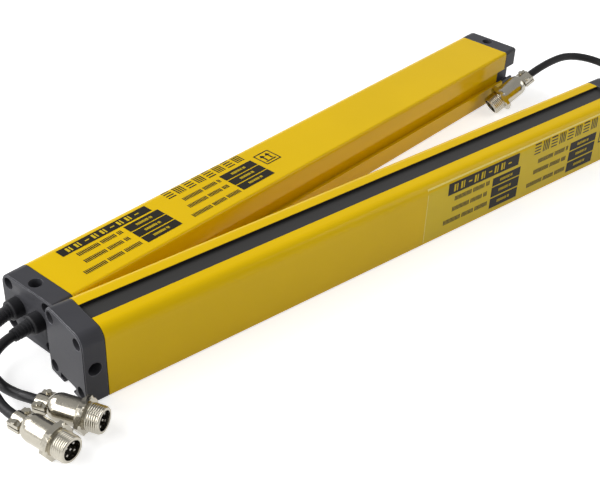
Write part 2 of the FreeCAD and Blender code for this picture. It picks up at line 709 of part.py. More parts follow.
def clamp_screws(name, place):
    """Two small screws that draw the halves of the clamp together."""
    body = new_body(name + "_clamp_screws", place)
    shanks = sketch_on(body, "XY_Plane", "shank_circles", "-clamp_ear")
    heads = sketch_on(body, "XY_Plane", "head_circles", "clamp_ear")
    for side in ("", "-"):
        circle(shanks, "clamp_length / 2", side + "clamp_spread / 2", "clamp_screw")
        circle(heads, "clamp_length / 2", side + "clamp_spread / 2", "clamp_screw_head")
    pad(body, "shanks", shanks, "2 * clamp_ear")
    pad(body, "heads", heads, "clamp_head_height")


def plug_socket(name, place):
    """Screw barrel with its six-sided flange and a spigot that sits in the back shell."""
    body = new_body(name + "_socket", place)
    flange = sketch_on(body, "YZ_Plane", "flange_outline", "shell_end")
    hexagon(flange, "0", "0", "flange_across")
    pad(body, "flange", flange, "flange_length")
    barrel = sketch_on(body, "YZ_Plane", "barrel_circle", "flange_end")
    circle(barrel, "0", "0", "barrel_diameter")
    pad(body, "barrel", barrel, "barrel_length")
    spigot = sketch_on(body, "YZ_Plane", "spigot_circle", "shell_end")
    circle(spigot, "0", "0", "shell_diameter - 2 * shell_wall - 2 * plug_play")
    pad(body, "spigot", spigot, "spigot_length", backward=True)
    bore = sketch_on(body, "YZ_Plane", "bore_circle", "shell_end - spigot_length")
    circle(bore, "0", "0", "barrel_bore")
    pocket(body, "bore", bore)


def plug_insert(name, place):
    """Plastic contact block with its pin holes and coding key."""
    body = new_body(name + "_insert", place)
    block = sketch_on(body, "YZ_Plane", "block_circle", "insert_front - insert_length")
    circle(block, "0", "0", "barrel_bore - 2 * plug_play")
    pad(body, "block", block, "insert_length")
    key = sketch_on(body, "YZ_Plane", "key_outline", "insert_front")
    slab(key, "key_width", "barrel_bore / 2 - plug_play - key_height", "barrel_bore / 2 - 3 * plug_play")
    pad(body, "key", key, "pin_front")
    holes = sketch_on(body, "YZ_Plane", "pin_circles", "insert_front - insert_length")
    pin_circles(holes)
    pocket(body, "pin_holes", holes)


def pin_circles(sketch):
    """Five contacts: one in the middle and four round it."""
    circle(sketch, "0", "0", "pin_diameter")
    for angle in (45, 135, 225, 315):
        circle(sketch, "pin_circle / 2 * cos(%d)" % angle, "pin_circle / 2 * sin(%d)" % angle, "pin_diameter")


def plug_pins(name, place):
    """Metal pins pressed into the contact block."""
    body = new_body(name + "_pins", place)
    rods = sketch_on(body, "YZ_Plane", "pin_circles", "insert_front - insert_length - pin_back")
    pin_circles(rods)
    pad(body, "rods", rods, "pin_back + insert_length + pin_front")


def cable(name, gland_body, shell_body):
    """Round cable from the seat in its gland to the seat in its plug: straight runs and tangent arcs."""
    gland_at = gland_body.Placement
    plug_at = shell_body.Placement
    seat = number("gland_length - gland_grip")
    leave = number("gland_length") + RUN_FROM_GLAND
    points = [gland_at.multVec(FreeCAD.Vector(seat, 0, 0)), gland_at.multVec(FreeCAD.Vector(leave, 0, 0))]
    for east, north, height in CABLE_POINTS[name]:
        points.append(FreeCAD.Vector(gland_at.Base.x + east, gland_at.Base.y + north, height))
    points.append(plug_at.multVec(FreeCAD.Vector(-RUN_TO_PLUG, 0, 0)))
    points.append(plug_at.multVec(FreeCAD.Vector(number("cable_grip"), 0, 0)))
    edges = []
    radii = []
    start = points[0]
    for before, point, after in zip(points, points[1:], points[2:]):
        arriving = (point - before).normalize()
        leaving = (after - point).normalize()
        half_turn = arriving.getAngle(leaving) / 2
        cut_back = ARC_SHARE * min((point - before).Length, (after - point).Length)
        first = point - arriving * cut_back
        last = point + leaving * cut_back
        radius = cut_back / math.tan(half_turn)
        inward = (leaving - arriving).normalize()
        middle = point + inward * (radius / math.cos(half_turn) - radius)
        edges.append(Part.LineSegment(start, first).toShape())
        edges.append(Part.Arc(first, middle, last).toShape())
        radii.append(round(radius, 1))
        start = last
    edges.append(Part.LineSegment(start, points[-1]).toShape())
    path = Part.Wire(edges)
    width = number("cable_diameter")
    section = Part.Wire([Part.Circle(points[0], points[1] - points[0], width / 2).toShape()])
    feature = doc.addObject("Part::Feature", name)
    feature.Label = name
    feature.Shape = path.makePipeShell([section], True, True)
    nodes.append(feature)
    expected = math.pi * width ** 2 / 4 * path.Length
    print(name, "length", round(path.Length, 1), "radii", radii,
          "volume share", round(feature.Shape.Volume / expected, 4))
    for point in points:
        print("  point", [round(value, 2) for value in point])


def bar_parts(bar, cable_end):
    """All the pieces of one bar apart from its glands, cables and plugs."""
    plain_end = "left" if cable_end == "right" else "right"
    housing(bar)
    window(bar)
    gasket(bar, plain_end, "end_gasket")
    gasket(bar, cable_end, "cable_gasket")
    cap(bar, plain_end, "end_cap", ())
    cap(bar, cable_end, "cable_cap", GLAND_SPOTS[bar])
    cap_screws(bar, plain_end, "end_screws")
    cap_screws(bar, cable_end, "cable_screws")
    board(bar)
    chips(bar)
    header(bar, cable_end)
    lens_carrier(bar)
    lenses(bar)
    diodes(bar)


def cable_set(name, bar, end, spot, place):
    """One gland, its cable and its plug."""
    number_tail = name[len(bar):]
    gland_body = gland(bar + "_gland" + number_tail, bar, end, *spot)
    plug_name = bar + "_plug" + number_tail
    plug_shell(plug_name, place)
    shell_body = nodes[-1]
    plug_clamp(plug_name, place)
    clamp_screws(plug_name, place)
    plug_socket(plug_name, place)
    plug_insert(plug_name, place)
    plug_pins(plug_name, place)
    doc.recompute()
    cable(bar + "_cable" + number_tail, gland_body, shell_body)


GLAND_SPOTS = {
    "emitter": (("0", "gland_middle"),),
    "receiver": (
        ("gland_side", "gland_middle + gland_pitch / 2"),
        ("gland_side", "gland_middle - gland_pitch / 2"),
    ),
}

bar_parts("emitter", "right")
bar_parts("receiver", "left")
for index, plug in enumerate(("plug_1", "plug_2")):
    flat = plug_place(EMITTER_CORNER, plug + "_east", plug + "_north", "flange_across / 2", plug + "_heading")
    cable_set("receiver_%d" % (index + 1), "receiver", "left", GLAND_SPOTS["receiver"][index], flat)
tilted_height = "barrel_diameter / 2 * cos(plug_3_tilt) + plug_length * sin(plug_3_tilt)"
tilted = plug_place(RECEIVER_CORNER, "bar_length - plug_3_inset", "-plug_3_off", tilted_height,
                    "plug_3_heading", "plug_3_tilt")
cable_set("emitter", "emitter", "right", GLAND_SPOTS["emitter"][0], tilted)
doc.recompute()

for item in doc.Objects:
    if "Invalid" in item.State or "Error" in item.State:
        raise RuntimeError("%s did not build: %s" % (item.Name, item.State))
for node in nodes:
    if node.Shape.isNull() or not node.Shape.isValid():
        raise RuntimeError(node.Label + " has no sound shape")

os.makedirs("parts", exist_ok=True)
for node in nodes:
    node.Shape.exportStep("parts/%s.step" % node.Label)
print(len(nodes), "nodes written")
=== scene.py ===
import json
import math

import bmesh
import bpy
from mathutils import Matrix, Vector


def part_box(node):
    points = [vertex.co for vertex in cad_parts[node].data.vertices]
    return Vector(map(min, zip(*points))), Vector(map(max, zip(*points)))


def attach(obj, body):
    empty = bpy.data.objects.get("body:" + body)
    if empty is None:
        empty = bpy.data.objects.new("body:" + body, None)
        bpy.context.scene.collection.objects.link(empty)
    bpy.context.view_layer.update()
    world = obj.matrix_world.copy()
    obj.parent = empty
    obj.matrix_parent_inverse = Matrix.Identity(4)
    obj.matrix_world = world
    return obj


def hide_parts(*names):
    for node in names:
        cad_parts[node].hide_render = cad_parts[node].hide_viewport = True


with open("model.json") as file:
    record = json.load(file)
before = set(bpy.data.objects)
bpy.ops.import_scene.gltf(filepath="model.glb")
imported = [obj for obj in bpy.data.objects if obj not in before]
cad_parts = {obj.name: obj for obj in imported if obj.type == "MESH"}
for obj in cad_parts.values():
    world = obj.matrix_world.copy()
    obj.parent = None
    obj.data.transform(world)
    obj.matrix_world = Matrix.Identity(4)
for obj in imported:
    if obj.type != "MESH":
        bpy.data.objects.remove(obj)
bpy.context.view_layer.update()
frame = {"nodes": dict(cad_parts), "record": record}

# Safety light curtain: finishes, print, plugs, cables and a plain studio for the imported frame.
# Places are in the frame of the part. A named length is in millimetres, unless the comment over
# it says metres.

bl_info = {
    "name": "Safety light curtain",
    "version": (1, 0, 0),
    "blender": (4, 5, 0),
    "location": "View3D > Sidebar > Light curtain",
    "description": "Finishes, print, plugs, cables and studio of a safety light curtain",
    "category": "Object",
}

MM = 0.001
BARS = ("emitter", "receiver")
PLUGS = ("receiver_plug_1", "receiver_plug_2", "emitter_plug")
PLUG_PARTS = ("_shell", "_clamp", "_clamp_screws", "_insert", "_pins")
MOUNTS = {mount["name"]: mount for mount in frame["record"]["mounts"]}

# The bar, whose sizes the print, the film and the painted shade follow. Its two corners are in
# metres.
HOUSING_LOW, HOUSING_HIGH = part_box("emitter_housing")
HOUSING_LENGTH = (HOUSING_HIGH.x - HOUSING_LOW.x) / MM
BAR_WIDTH = (HOUSING_HIGH.y - HOUSING_LOW.y) / MM
BAR_DEPTH = (HOUSING_HIGH.z - HOUSING_LOW.z) / MM
BAR_LENGTH = (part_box("emitter_cable_cap")[1].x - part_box("emitter_end_cap")[0].x) / MM
FRONT_RADIUS = 5.5
SLOT_DEPTH = 4.4

# Soft edges of a moulded solid, after its flat faces are joined. Angles are in degrees.
WELD_REACH = 0.002
FLAT_ANGLE = 0.5
EDGE_ANGLE = 32
EDGE_SEGMENTS = 3
SMOOTH_ANGLE = 35

# The black strips of painted shade beside the window, up the walls of its lips: how far the lip's
# wall is from the side of the bar, the strip's width, and its rise from the back.
WINDOW_SIDE = 9.625
SHADE_STRIP_WIDTH = 0.2
SHADE_STRIP_RISE = (34.4, 35.8)

# How far the film, the painted highlight along its edge, and the inks stand off the paint.
FILM_LIFT = 0.05
FILM_HIGHLIGHT_LIFT = 0.07
INK_LIFT = 0.09
MARK_LIFT = 0.12

# The film, along the bar and up from its back, and the rows of faces that take it round the corner.
FILM_SPAN = (194.5, 345.0)
FILM_RISE = (2.0, 33.8)
# The width of the pale strip painted along the film's edges as a highlight.
FILM_HIGHLIGHT_WIDTH = 0.9
CORNER_STEPS = 12

# The print: its left edge along each bar, then what it holds, from that edge and up from the
# back. Every third mark of the strip is a dash.
PRINT_START = {"emitter": 209.2, "receiver": 25.5}
STRIP_LENGTH = 53.0
STRIP_RISE = {"emitter": (24.7, 31.7), "receiver": (24.7, 30.2)}
STRIP_MARGIN = 4.0
STRIP_MARKS = 9
STRIP_GROUP = 3
STRIP_PITCH = 5.0
STRIP_BARS = ((0.0, 1.3), (2.0, 2.8))
STRIP_DASH = (0.6, 3.1)

# How tall the bars are as a share of the strip, and the dash's span as shares of the bars.
BAR_SHARE = 0.6
DASH_SHARES = (0.4, 0.6)

# The cells and the rows of words, from the same edges.
CELL_ROWS = {
    "emitter": ((17.7, 22.8), (10.9, 17.0), (3.9, 10.1)),
    "receiver": ((18.1, 23.5), (12.1, 17.4), (6.1, 11.4)),
}
CELL_SPANS = ((34.0, 55.5), (97.0, 119.5))
CELL_WORD = (10.0, 1.6)
TEXT_ROWS = (
    (5.5, 32.0, 20.0),
    (4.5, 31.0, 13.8),
    (-1.0, 33.0, 7.2),
    (70.0, 95.5, 19.4),
    (67.5, 95.0, 13.2),
    (63.5, 96.0, 6.0),
)
TEXT_HEIGHT = 2.7
TITLE_SPAN = (65.5, 120.0)
TITLE_RISE = (26.0, 32.4)
TITLE_MARKS = 8
TITLE_SIDE = 5.0
TITLE_LINES = 4
TITLE_LINE = 0.75

# Ticks in each printed word by turns, and their pitch and width as shares of their height.
WORD_RHYTHM = (13, 9, 17)
TICK_PITCH = 0.36
TICK_WIDTH = 0.23

# The sign with two arrows: its frame, the bar at its foot, and the arrows, measured from the frame.
SIGN_BOX = (122.9, 133.5, 14.3, 24.8)
SIGN_LINE = 0.7
SIGN_FOOT = (1.8, 1.9, 2.7)
ARROW_INSET = 3.4
STEM_HALF = 0.5
STEM_FOOT = 3.2
STEM_TOP = 3.6
HEAD_HALF = 1.7
HEAD_TIP = 0.05
HEAD_FOOT = 3.9
HEAD_TOP = 1.7

# The screw barrel of a plug: stations from the plug's cable end, and its radii.
SPIGOT_START = 17.0
FLANGE_START = 20.5
FLANGE_END = 23.5
INSERT_FACE = 25.0
THREAD_MIDDLE = 27.0
MOUTH = 30.5
SPIGOT_RADIUS = 4.75
BORE_RADIUS = 4.4
THREAD_RADIUS = 6.0
FLANGE_ACROSS = 15.0
FLANGE_SECTOR = math.radians(60)
FLANGE_BEVEL = 0.55
FLANGE_CONE = 0.1
BARREL_STEPS = 96

# Its thread: rings to a millimetre, how full its crests are, the plain length and the fade at
# the flange and at the mouth, and the chamfer of the rim with its slope.
THREAD_PITCH = 1.0
THREAD_HEIGHT = 0.28
THREAD_RINGS = 10
THREAD_CREST = 1.35
FLANGE_PLAIN, FLANGE_FADE = 0.5, 0.5
MOUTH_PLAIN, MOUTH_FADE = 0.2, 0.8
RIM_LENGTH, RIM_SLOPE = 0.4, 0.6

# The ribbed tail of each gland, measured along its cable from the cable's start.
SLEEVE_START = 2.9
SLEEVE_END = 11.5
SLEEVE_WIDE = 3.5
SLEEVE_NARROW = 2.9
SLEEVE_BORE = 2.2
SLEEVE_GROOVE = 0.35
SLEEVE_RIBS = 5
RIB_SHARE = 0.55
SLEEVE_AIM = 0.5
SLEEVE_RINGS = 48
SLEEVE_STEPS = 32

# The route of each cable in metres: the same points as in the part's source.
CABLE_ROUTES = {
    "receiver_cable_1": (
        (-0.18228, -0.00597, 0.0165), (-0.19067, -0.00734, 0.0165), (-0.19751, -0.01117, 0.0126),
        (-0.20221, -0.01757, 0.0086), (-0.20471, -0.02597, 0.0056), (-0.20481, -0.03497, 0.0046),
        (-0.20221, -0.04457, 0.0056), (-0.20091, -0.04993, 0.0075), (-0.19611, -0.05824, 0.0075),
    ),
    "receiver_cable_2": (
        (-0.17997, -0.02019, 0.0165), (-0.18836, -0.02155, 0.0165), (-0.1972, -0.02379, 0.0163),
        (-0.2043, -0.02779, 0.0148), (-0.2091, -0.03419, 0.0122), (-0.2115, -0.04239, 0.0094),
        (-0.21138, -0.053, 0.0075), (-0.20868, -0.06222, 0.0075),
    ),
    "emitter_cable": (
        (0.18359, -0.04818, 0.018), (0.19209, -0.04818, 0.018), (0.20159, -0.04558, 0.0193),
        (0.20939, -0.04078, 0.0208), (0.21469, -0.03318, 0.0226), (0.21669, -0.02378, 0.0246),
        (0.21519, -0.01398, 0.0266), (0.21009, -0.00518, 0.0282), (0.20229, 0.00122, 0.0292),
        (0.19309, 0.00422, 0.0289), (0.17725, 0.00679, 0.02469), (0.16944, 0.00874, 0.01946),
    ),
}
CABLE_ENDS = {
    "receiver_cable_1": ("receiver_gland_1", "receiver_plug_1"),
    "receiver_cable_2": ("receiver_gland_2", "receiver_plug_2"),
    "emitter_cable": ("emitter_gland", "emitter_plug"),
}
CABLE_RESOLUTION = 16
JACKET_RESOLUTION = 8

# The camera, found from the edges of both bars in the photograph. Angles are in degrees.
CAMERA_PLACE = (-334.7, -370.777, 321.025)
CAMERA_AZIMUTH = 40.879
CAMERA_DOWN = 35.110
CAMERA_ROLL = 2.564
CAMERA_LENS = 66.251
CAMERA_NEAR = 10
SENSOR_WIDTH = 36

# Each softbox: its place and side in metres, and the setting with its power. All aim at one
# point, in metres too.
SOFTBOXES = {
    "left softbox": ((-2.0, 0.2, 1.2), 1.4, "key_power"),
    "back softbox": ((-1.2, 1.5, 1.45), 1.3, "back_power"),
    "front softbox": ((0.95, -0.75, 0.7), 0.7, "front_power"),
}
SOFTBOX_AIM = (0, 0, 0.02)

# How bright the surround looks, where 1 is white: up to the first height it is white, from the
# second on it is as bright as overhead. Heights are the sine of the angle above the horizon.
OVERHEAD = 0.5
WHITE_UP_TO = 0.15
DIM_FROM = 0.4

# The paper floor: its colour, and the glow added where it is looked at.
PAPER = 0.8
PAPER_GLOW = 0.6

# A dielectric's own reflection, held back as this studio is whiter all round than a real one.
HELD_GLOSS = 0.12

# Nearly all the values of a noise texture lie between these two.
NOISE_LOW, NOISE_HIGH = 0.3, 0.7


def linear(code):
    """An sRGB hex value as a linear colour."""
    parts = [int(code[start:start + 2], 16) / 255 for start in (0, 2, 4)]
    return tuple(part / 12.92 if part <= 0.04045 else ((part + 0.055) / 1.055) ** 2.4
                 for part in parts)


def colour_setting(name, description, code):
    """A colour that a user may change."""
    return bpy.props.FloatVectorProperty(name=name, description=description, subtype="COLOR",
                                         size=3, min=0, max=1, default=linear(code))


def length_setting(name, description, length):
    """A length that a user may change, given in millimetres."""
    return bpy.props.FloatProperty(name=name, description=description, subtype="DISTANCE",
                                   unit="LENGTH", min=0, default=length * MM, precision=5)


def power_setting(name, description, power):
    """The power of a lamp that a user may change."""
    return bpy.props.FloatProperty(name=name, description=description, unit="POWER", min=0,
                                   default=power)


class CURTAIN_PG_finishes(bpy.types.PropertyGroup):
    """Colours of the finishes"""
    paint: colour_setting("Paint", "Powder coat of both housings", "E6BE00")
    cap: colour_setting("Caps", "Glass-filled nylon of the end caps", "424246")
    window: colour_setting("Window", "Dark acrylic strip over the beams", "302F2E")
    metal: colour_setting("Plug metal", "Nickel plate of the plugs", "B9B4A7")
    jacket: colour_setting("Cable", "Jacket of the cables", "1E1E20")
    ink: colour_setting("Ink", "Black of the printed cells and rows", "26231C")
    light_ink: colour_setting("Light ink", "Yellow marks left open in the black print", "D8B91E")
    film: colour_setting("Film", "Clear label film as seen over the paint", "DDBF28")


class CURTAIN_PG_sizes(bpy.types.PropertyGroup):
    """Sizes of what the scene adds"""
    cable_diameter: length_setting("Cable", "Diameter of each cable jacket", 4.5)
    edge: length_setting("Moulded edges", "Rounding of the moulded cap edges", 0.45)


class CURTAIN_PG_studio(bpy.types.PropertyGroup):
    """Light and floor"""
    key_power: power_setting("Left softbox", "Power of the softbox at the left", 25.0)
    back_power: power_setting("Back softbox", "Power of the softbox behind", 35.0)
    front_power: power_setting("Front softbox", "Power of the softbox at the right front", 3.2)
    fill: bpy.props.FloatProperty(
        name="Surround", description="Light from all round", default=0.33, min=0, max=2)
    floor_size: bpy.props.FloatProperty(
        name="Floor", description="Side of the floor", default=4.0, min=1, unit="LENGTH")


def add_node(tree, kind, settings=None, values=None, links=None):
    """Add a node with its settings, the values of its inputs and what its inputs are linked to."""
    made = tree.nodes.new(kind)
    for name, value in (settings or {}).items():
        setattr(made, name, value)
    for name, value in (values or {}).items():
        made.inputs[name].default_value = value
    for name, source in (links or {}).items():
        tree.links.new(source, made.inputs[name])
    return made


def surface(name, colour, gloss, grain, depth, patch=None, spread=None, **values):
    """A material with one plain shader, whose bumps and patches have sizes in millimetres."""
    made = bpy.data.materials.new(name)
    made.use_nodes = True
    tree = made.node_tree
    tree.nodes.clear()
    inputs = {key.replace("_", " "): value for key, value in values.items()}
    inputs["Base Color"] = (*colour, 1)
    shader = add_node(tree, "ShaderNodeBsdfPrincipled", values=inputs)
    add_node(tree, "ShaderNodeOutputMaterial", links={"Surface": shader.outputs["BSDF"]})
    place = add_node(tree, "ShaderNodeTexCoord")
    relief(tree, shader, place, gloss, grain, depth)
    if patch:
        drift(tree, shader, place, colour, patch, spread)
    return made


def relief(tree, shader, place, gloss, grain, depth):
    """Fine bumps of a grain and depth, and a gloss that varies between two roughnesses."""
    noise = add_node(tree, "ShaderNodeTexNoise",
                     values={"Scale": 1 / (grain * MM), "Detail": 3.0},
                     links={"Vector": place.outputs["Object"]})
    bump = add_node(tree, "ShaderNodeBump", values={"Strength": 1.0, "Distance": depth * MM},
                    links={"Height": noise.outputs["Fac"]})
    smooth, rough = gloss
    uneven = add_node(tree, "ShaderNodeMapRange",
                      values={"From Min": NOISE_LOW, "From Max": NOISE_HIGH,
                              "To Min": smooth, "To Max": rough},
                      links={"Value": noise.outputs["Fac"]})
    tree.links.new(bump.outputs["Normal"], shader.inputs["Normal"])
    tree.links.new(uneven.outputs["Result"], shader.inputs["Roughness"])


def drift(tree, shader, place, colour, patch, spread):
    """Let the colour drift by a small share from patch to patch."""
    noise = add_node(tree, "ShaderNodeTexNoise",
                     values={"Scale": 1 / (patch * MM), "Detail": 2.0},
                     links={"Vector": place.outputs["Object"]})
    ramp = add_node(tree, "ShaderNodeValToRGB", links={"Fac": noise.outputs["Fac"]})
    darker, lighter = ramp.color_ramp.elements
    darker.position = NOISE_LOW
    lighter.position = NOISE_HIGH
    darker.color = (*[part * (1 - spread) for part in colour], 1)
    lighter.color = (*[min(part * (1 + spread), 1) for part in colour], 1)
    tree.links.new(ramp.outputs["Color"], shader.inputs["Base Color"])


def baked_powder_coat(finishes):
    """Polyester powder, sprayed and baked: even yellow, half gloss, with a faint orange peel."""
    return surface("baked powder coat", finishes.paint, gloss=(0.14, 0.19), grain=2.2,
                   depth=0.003, patch=45, spread=0.025, Specular_IOR_Level=HELD_GLOSS)


def label_film(finishes):
    """Clear polyester label film over the paint: a flat, wetter gloss and a paler yellow."""
    return surface("polyester label film", finishes.film, gloss=(0.12, 0.2), grain=9,
                   depth=0.02, patch=30, spread=0.03, Specular_IOR_Level=HELD_GLOSS)


def film_edge_painted_highlight(finishes):
    """A painted highlight along the film's cut edge: a thin pale line, paler than the film."""
    return surface("cut polyester edge", linear("F6DE62"), gloss=(0.24, 0.36), grain=3,
                   depth=0.004, IOR=1.57)


def screen_ink(finishes):
    """Screen printed ink: near black, a little less glossy than what it is printed on."""
    return surface("screen printed black ink", finishes.ink, gloss=(0.36, 0.46), grain=0.3,
                   depth=0.004, patch=8, spread=0.08, Specular_IOR_Level=HELD_GLOSS)


def light_ink(finishes):
    """The same screen print, in the yellow that is left open in its black fields."""
    return surface("screen printed yellow ink", finishes.light_ink, gloss=(0.36, 0.46), grain=0.3,
                   depth=0.004, patch=8, spread=0.04, Specular_IOR_Level=HELD_GLOSS)


def smoked_acrylic(finishes):
    """Extruded acrylic, dyed for infrared light: an even dark grey with a fine matt face."""
    return surface("smoked acrylic strip", finishes.window, gloss=(0.38, 0.5), grain=0.25,
                   depth=0.006, patch=40, spread=0.04, Specular_IOR_Level=0.35)


def window_painted_shade(finishes):
    """Painted shade up the walls of the window's lips: black, with a dull rubbery gloss."""
    return surface("black silicone sealant", linear("161615"), gloss=(0.5, 0.62), grain=1.5,
                   depth=0.02, IOR=1.43)


def moulded_nylon(finishes):
    """Glass-filled nylon from a spark-eroded mould: dark grey, satin, with a fine even grain."""
    return surface("moulded glass-filled nylon", finishes.cap, gloss=(0.34, 0.46), grain=0.35,
                   depth=0.018, patch=12, spread=0.05, Specular_IOR_Level=HELD_GLOSS)


def nylon_edges_painted_highlight(finishes):
    """The same nylon on its rounded outer edges, smoother, with its colour painted paler as a
    highlight.
    """
    # The cap colour is lifted well above its own to paint a highlight line along the edges.
    highlight_gain = 2.6
    colour = [min(part * highlight_gain, 1) for part in finishes.cap]
    return surface("rubbed nylon edges", colour, gloss=(0.24, 0.36), grain=1.2,
                   depth=0.004, patch=12, spread=0.05, IOR=1.53)


def sheet_rubber(finishes):
    """Nitrile rubber, cut from sheet: black and dull."""
    return surface("cut nitrile rubber", linear("1B1B1C"), gloss=(0.68, 0.82), grain=0.2,
                   depth=0.01, IOR=1.52)


def black_oxide_steel(finishes):
    """Cold headed steel screws, blackened: near black with a dim oily shine."""
    return surface("blackened steel", linear("2A2A2C"), gloss=(0.32, 0.46), grain=0.3,
                   depth=0.004, Metallic=1.0)


def nickel_plate(finishes):
    """Turned and tumbled brass, nickel plated: bright, slightly warm, with soft reflections."""
    return surface("nickel plated brass", finishes.metal, gloss=(0.12, 0.26), grain=0.7,
                   depth=0.006, patch=5, spread=0.05, Metallic=1.0)


def silver_plate(finishes):
    """Turned brass pins with silver plate: pale, soft and a little tarnished."""
    return surface("silver plated brass", linear("B9B6AE"), gloss=(0.24, 0.38), grain=0.3,
                   depth=0.002, Metallic=1.0)


def moulded_pbt(finishes):
    """Polyester moulding of the contact blocks and headers: plain black with a dull shine."""
    return surface("moulded black polyester", linear("1F1F21"), gloss=(0.34, 0.5), grain=0.3,
                   depth=0.006, IOR=1.57)


def moulded_elastomer(finishes):
    """Soft moulded strain relief: black with a skin a little duller than the cable."""
    return surface("moulded elastomer", linear("1F1F22"), gloss=(0.44, 0.58), grain=0.35,
                   depth=0.012, Specular_IOR_Level=0.3)


def extruded_jacket(finishes):
    """PVC jacket, extruded: black and satin, with a faintly uneven skin."""
    return surface("extruded jacket", finishes.jacket, gloss=(0.33, 0.45), grain=0.6,
                   depth=0.01, patch=6, spread=0.08, Specular_IOR_Level=0.3)


def solder_mask(finishes):
    """Glass-epoxy board under green solder mask: smooth, a little uneven over its weave."""
    return surface("solder mask on glass epoxy", linear("1F5A38"), gloss=(0.25, 0.38), grain=0.5,
                   depth=0.006, patch=3, spread=0.12, IOR=1.55)


def chip_epoxy(finishes):
    """Transfer moulded epoxy: charcoal and matt."""
    return surface("moulded chip epoxy", linear("26262A"), gloss=(0.52, 0.68), grain=0.15,
                   depth=0.01, IOR=1.55)


def light_tight_moulding(finishes):
    """Black polycarbonate that stops stray light: deep black and dull."""
    return surface("light tight polycarbonate", linear("17171A"), gloss=(0.48, 0.62), grain=0.25,
                   depth=0.008, IOR=1.58)


def polished_acrylic(finishes):
    """Acrylic from a polished mould: as clear and glossy as glass."""
    return surface("polished clear acrylic", linear("F4F6F7"), gloss=(0.03, 0.06), grain=4,
                   depth=0.001, IOR=1.49, Transmission_Weight=1.0)


def tinted_epoxy(finishes):
    """Cast diode body: epoxy tinted a dark smoke blue, with a wet gloss."""
    return surface("tinted cast epoxy", linear("2C3350"), gloss=(0.08, 0.14), grain=2,
                   depth=0.002, IOR=1.54)


made_materials = {}


def material(make):
    """The material that a function makes, made once."""
    name = make.__name__
    if name not in made_materials:
        made_materials[name] = make(bpy.context.scene.curtain_finishes)
    return made_materials[name]


def dress(node, make, edge=0.0, edge_make=None):
    """Give a solid of the frame its finish, and soft edges with their own if an edge is given."""
    solid = frame["nodes"][node]
    solid.data.materials.clear()
    solid.data.materials.append(material(make))
    if edge:
        weld = solid.modifiers.new("weld", "WELD")
        weld.merge_threshold = WELD_REACH * MM
        flat = solid.modifiers.new("flat faces", "DECIMATE")
        flat.decimate_type = "DISSOLVE"
        flat.angle_limit = math.radians(FLAT_ANGLE)
        rounding = solid.modifiers.new("soft edges", "BEVEL")
        rounding.width = edge
        rounding.segments = EDGE_SEGMENTS
        rounding.limit_method = "ANGLE"
        rounding.angle_limit = math.radians(EDGE_ANGLE)
        rounding.harden_normals = True
        # The rounded edge faces take a second material; on the caps it paints a highlight along the
        # edges.
        solid.data.materials.append(material(edge_make))
        rounding.material = 1
    return solid


def finished_mesh(name, shape):
    """The mesh of a drawn shape."""
    mesh = bpy.data.meshes.new(name)
    shape.to_mesh(mesh)
    shape.free()
    return mesh


def closed_loft(name, rings):
    """A closed skin through rings of points, which ends where it starts."""
    shape = bmesh.new()
    rings = [[shape.verts.new(spot) for spot in ring] for ring in rings]
    for before, after in zip(rings, rings[1:] + rings[:1]):
        for step in range(len(before)):
            following = (step + 1) % len(before)
            shape.faces.new((before[step], before[following], after[following], after[step]))
    bmesh.ops.recalc_face_normals(shape, faces=shape.faces)
    return finished_mesh(name, shape)


def new_piece(name, mesh, make):
    """Put a mesh in the scene as a piece of the part."""
    mesh.materials.append(material(make))
    mesh.shade_smooth()
    mesh.set_sharp_from_angle(angle=math.radians(SMOOTH_ANGLE))
    piece = bpy.data.objects.new(name, mesh)
    bpy.context.scene.collection.objects.link(piece)
    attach(piece, "root")
    return piece


def bar_axes(bar):
    """The low corner of a bar's label side, and its ways along, up from the back and out."""
    slot = MOUNTS[bar + "_mounting_slot"]
    along = Vector(slot["axis"])
    out = Vector((0, -1, 0)) if bar == "emitter" else Vector((0, 0, 1))
    rise = out.cross(along)
    reach = out * BAR_WIDTH - along * BAR_LENGTH - rise * SLOT_DEPTH
    return Vector(slot["pos_m"]) + reach / 2 * MM, along, rise, out


def label_point(axes, across, level, lift):
    """A point of the label side, which goes round the corner beside the window."""
    corner, along, rise, out = axes
    flat = BAR_DEPTH - FRONT_RADIUS
    if level > flat:
        turn = (level - flat) / FRONT_RADIUS
        reach = FRONT_RADIUS + lift
        level = flat + reach * math.sin(turn)
        lift = reach * math.cos(turn) - FRONT_RADIUS
    return corner + (along * across + rise * level + out * lift) * MM


def label_mesh(name, axes, fields, lift):
    """A thin skin on the label side, with a field for each four corners of (across, level)."""
    shape = bmesh.new()
    for low_left, low_right, high_right, high_left in fields:
        bent = max(high_left[1], high_right[1]) > BAR_DEPTH - FRONT_RADIUS
        steps = CORNER_STEPS if bent else 1
        rows = []
        for step in range(steps + 1):
            share = step / steps
            row = []
            for low, high in ((low_left, high_left), (low_right, high_right)):
                across = low[0] + (high[0] - low[0]) * share
                level = low[1] + (high[1] - low[1]) * share
                row.append(shape.verts.new(label_point(axes, across, level, lift)))
            rows.append(row)
        for before, after in zip(rows, rows[1:]):
            shape.faces.new((before[0], before[1], after[1], after[0]))
    return finished_mesh(name, shape)


def box_field(left, right, low, high):
    """The corners of an upright field."""
    return (left, low), (right, low), (right, high), (left, high)


def word_fields(start, end, low, height):
    """Plain upright ticks, all alike, grouped in the rhythm of printed words."""
    pitch = height * TICK_PITCH
    fields = []
    spot = start
    word = 0
    left_in_word = WORD_RHYTHM[0]
    while spot + pitch < end:
        if left_in_word:
            fields.append(box_field(spot, spot + height * TICK_WIDTH, low, low + height))
            left_in_word -= 1
        else:
            word += 1
            left_in_word = WORD_RHYTHM[word % len(WORD_RHYTHM)]
        spot += pitch
    return fields


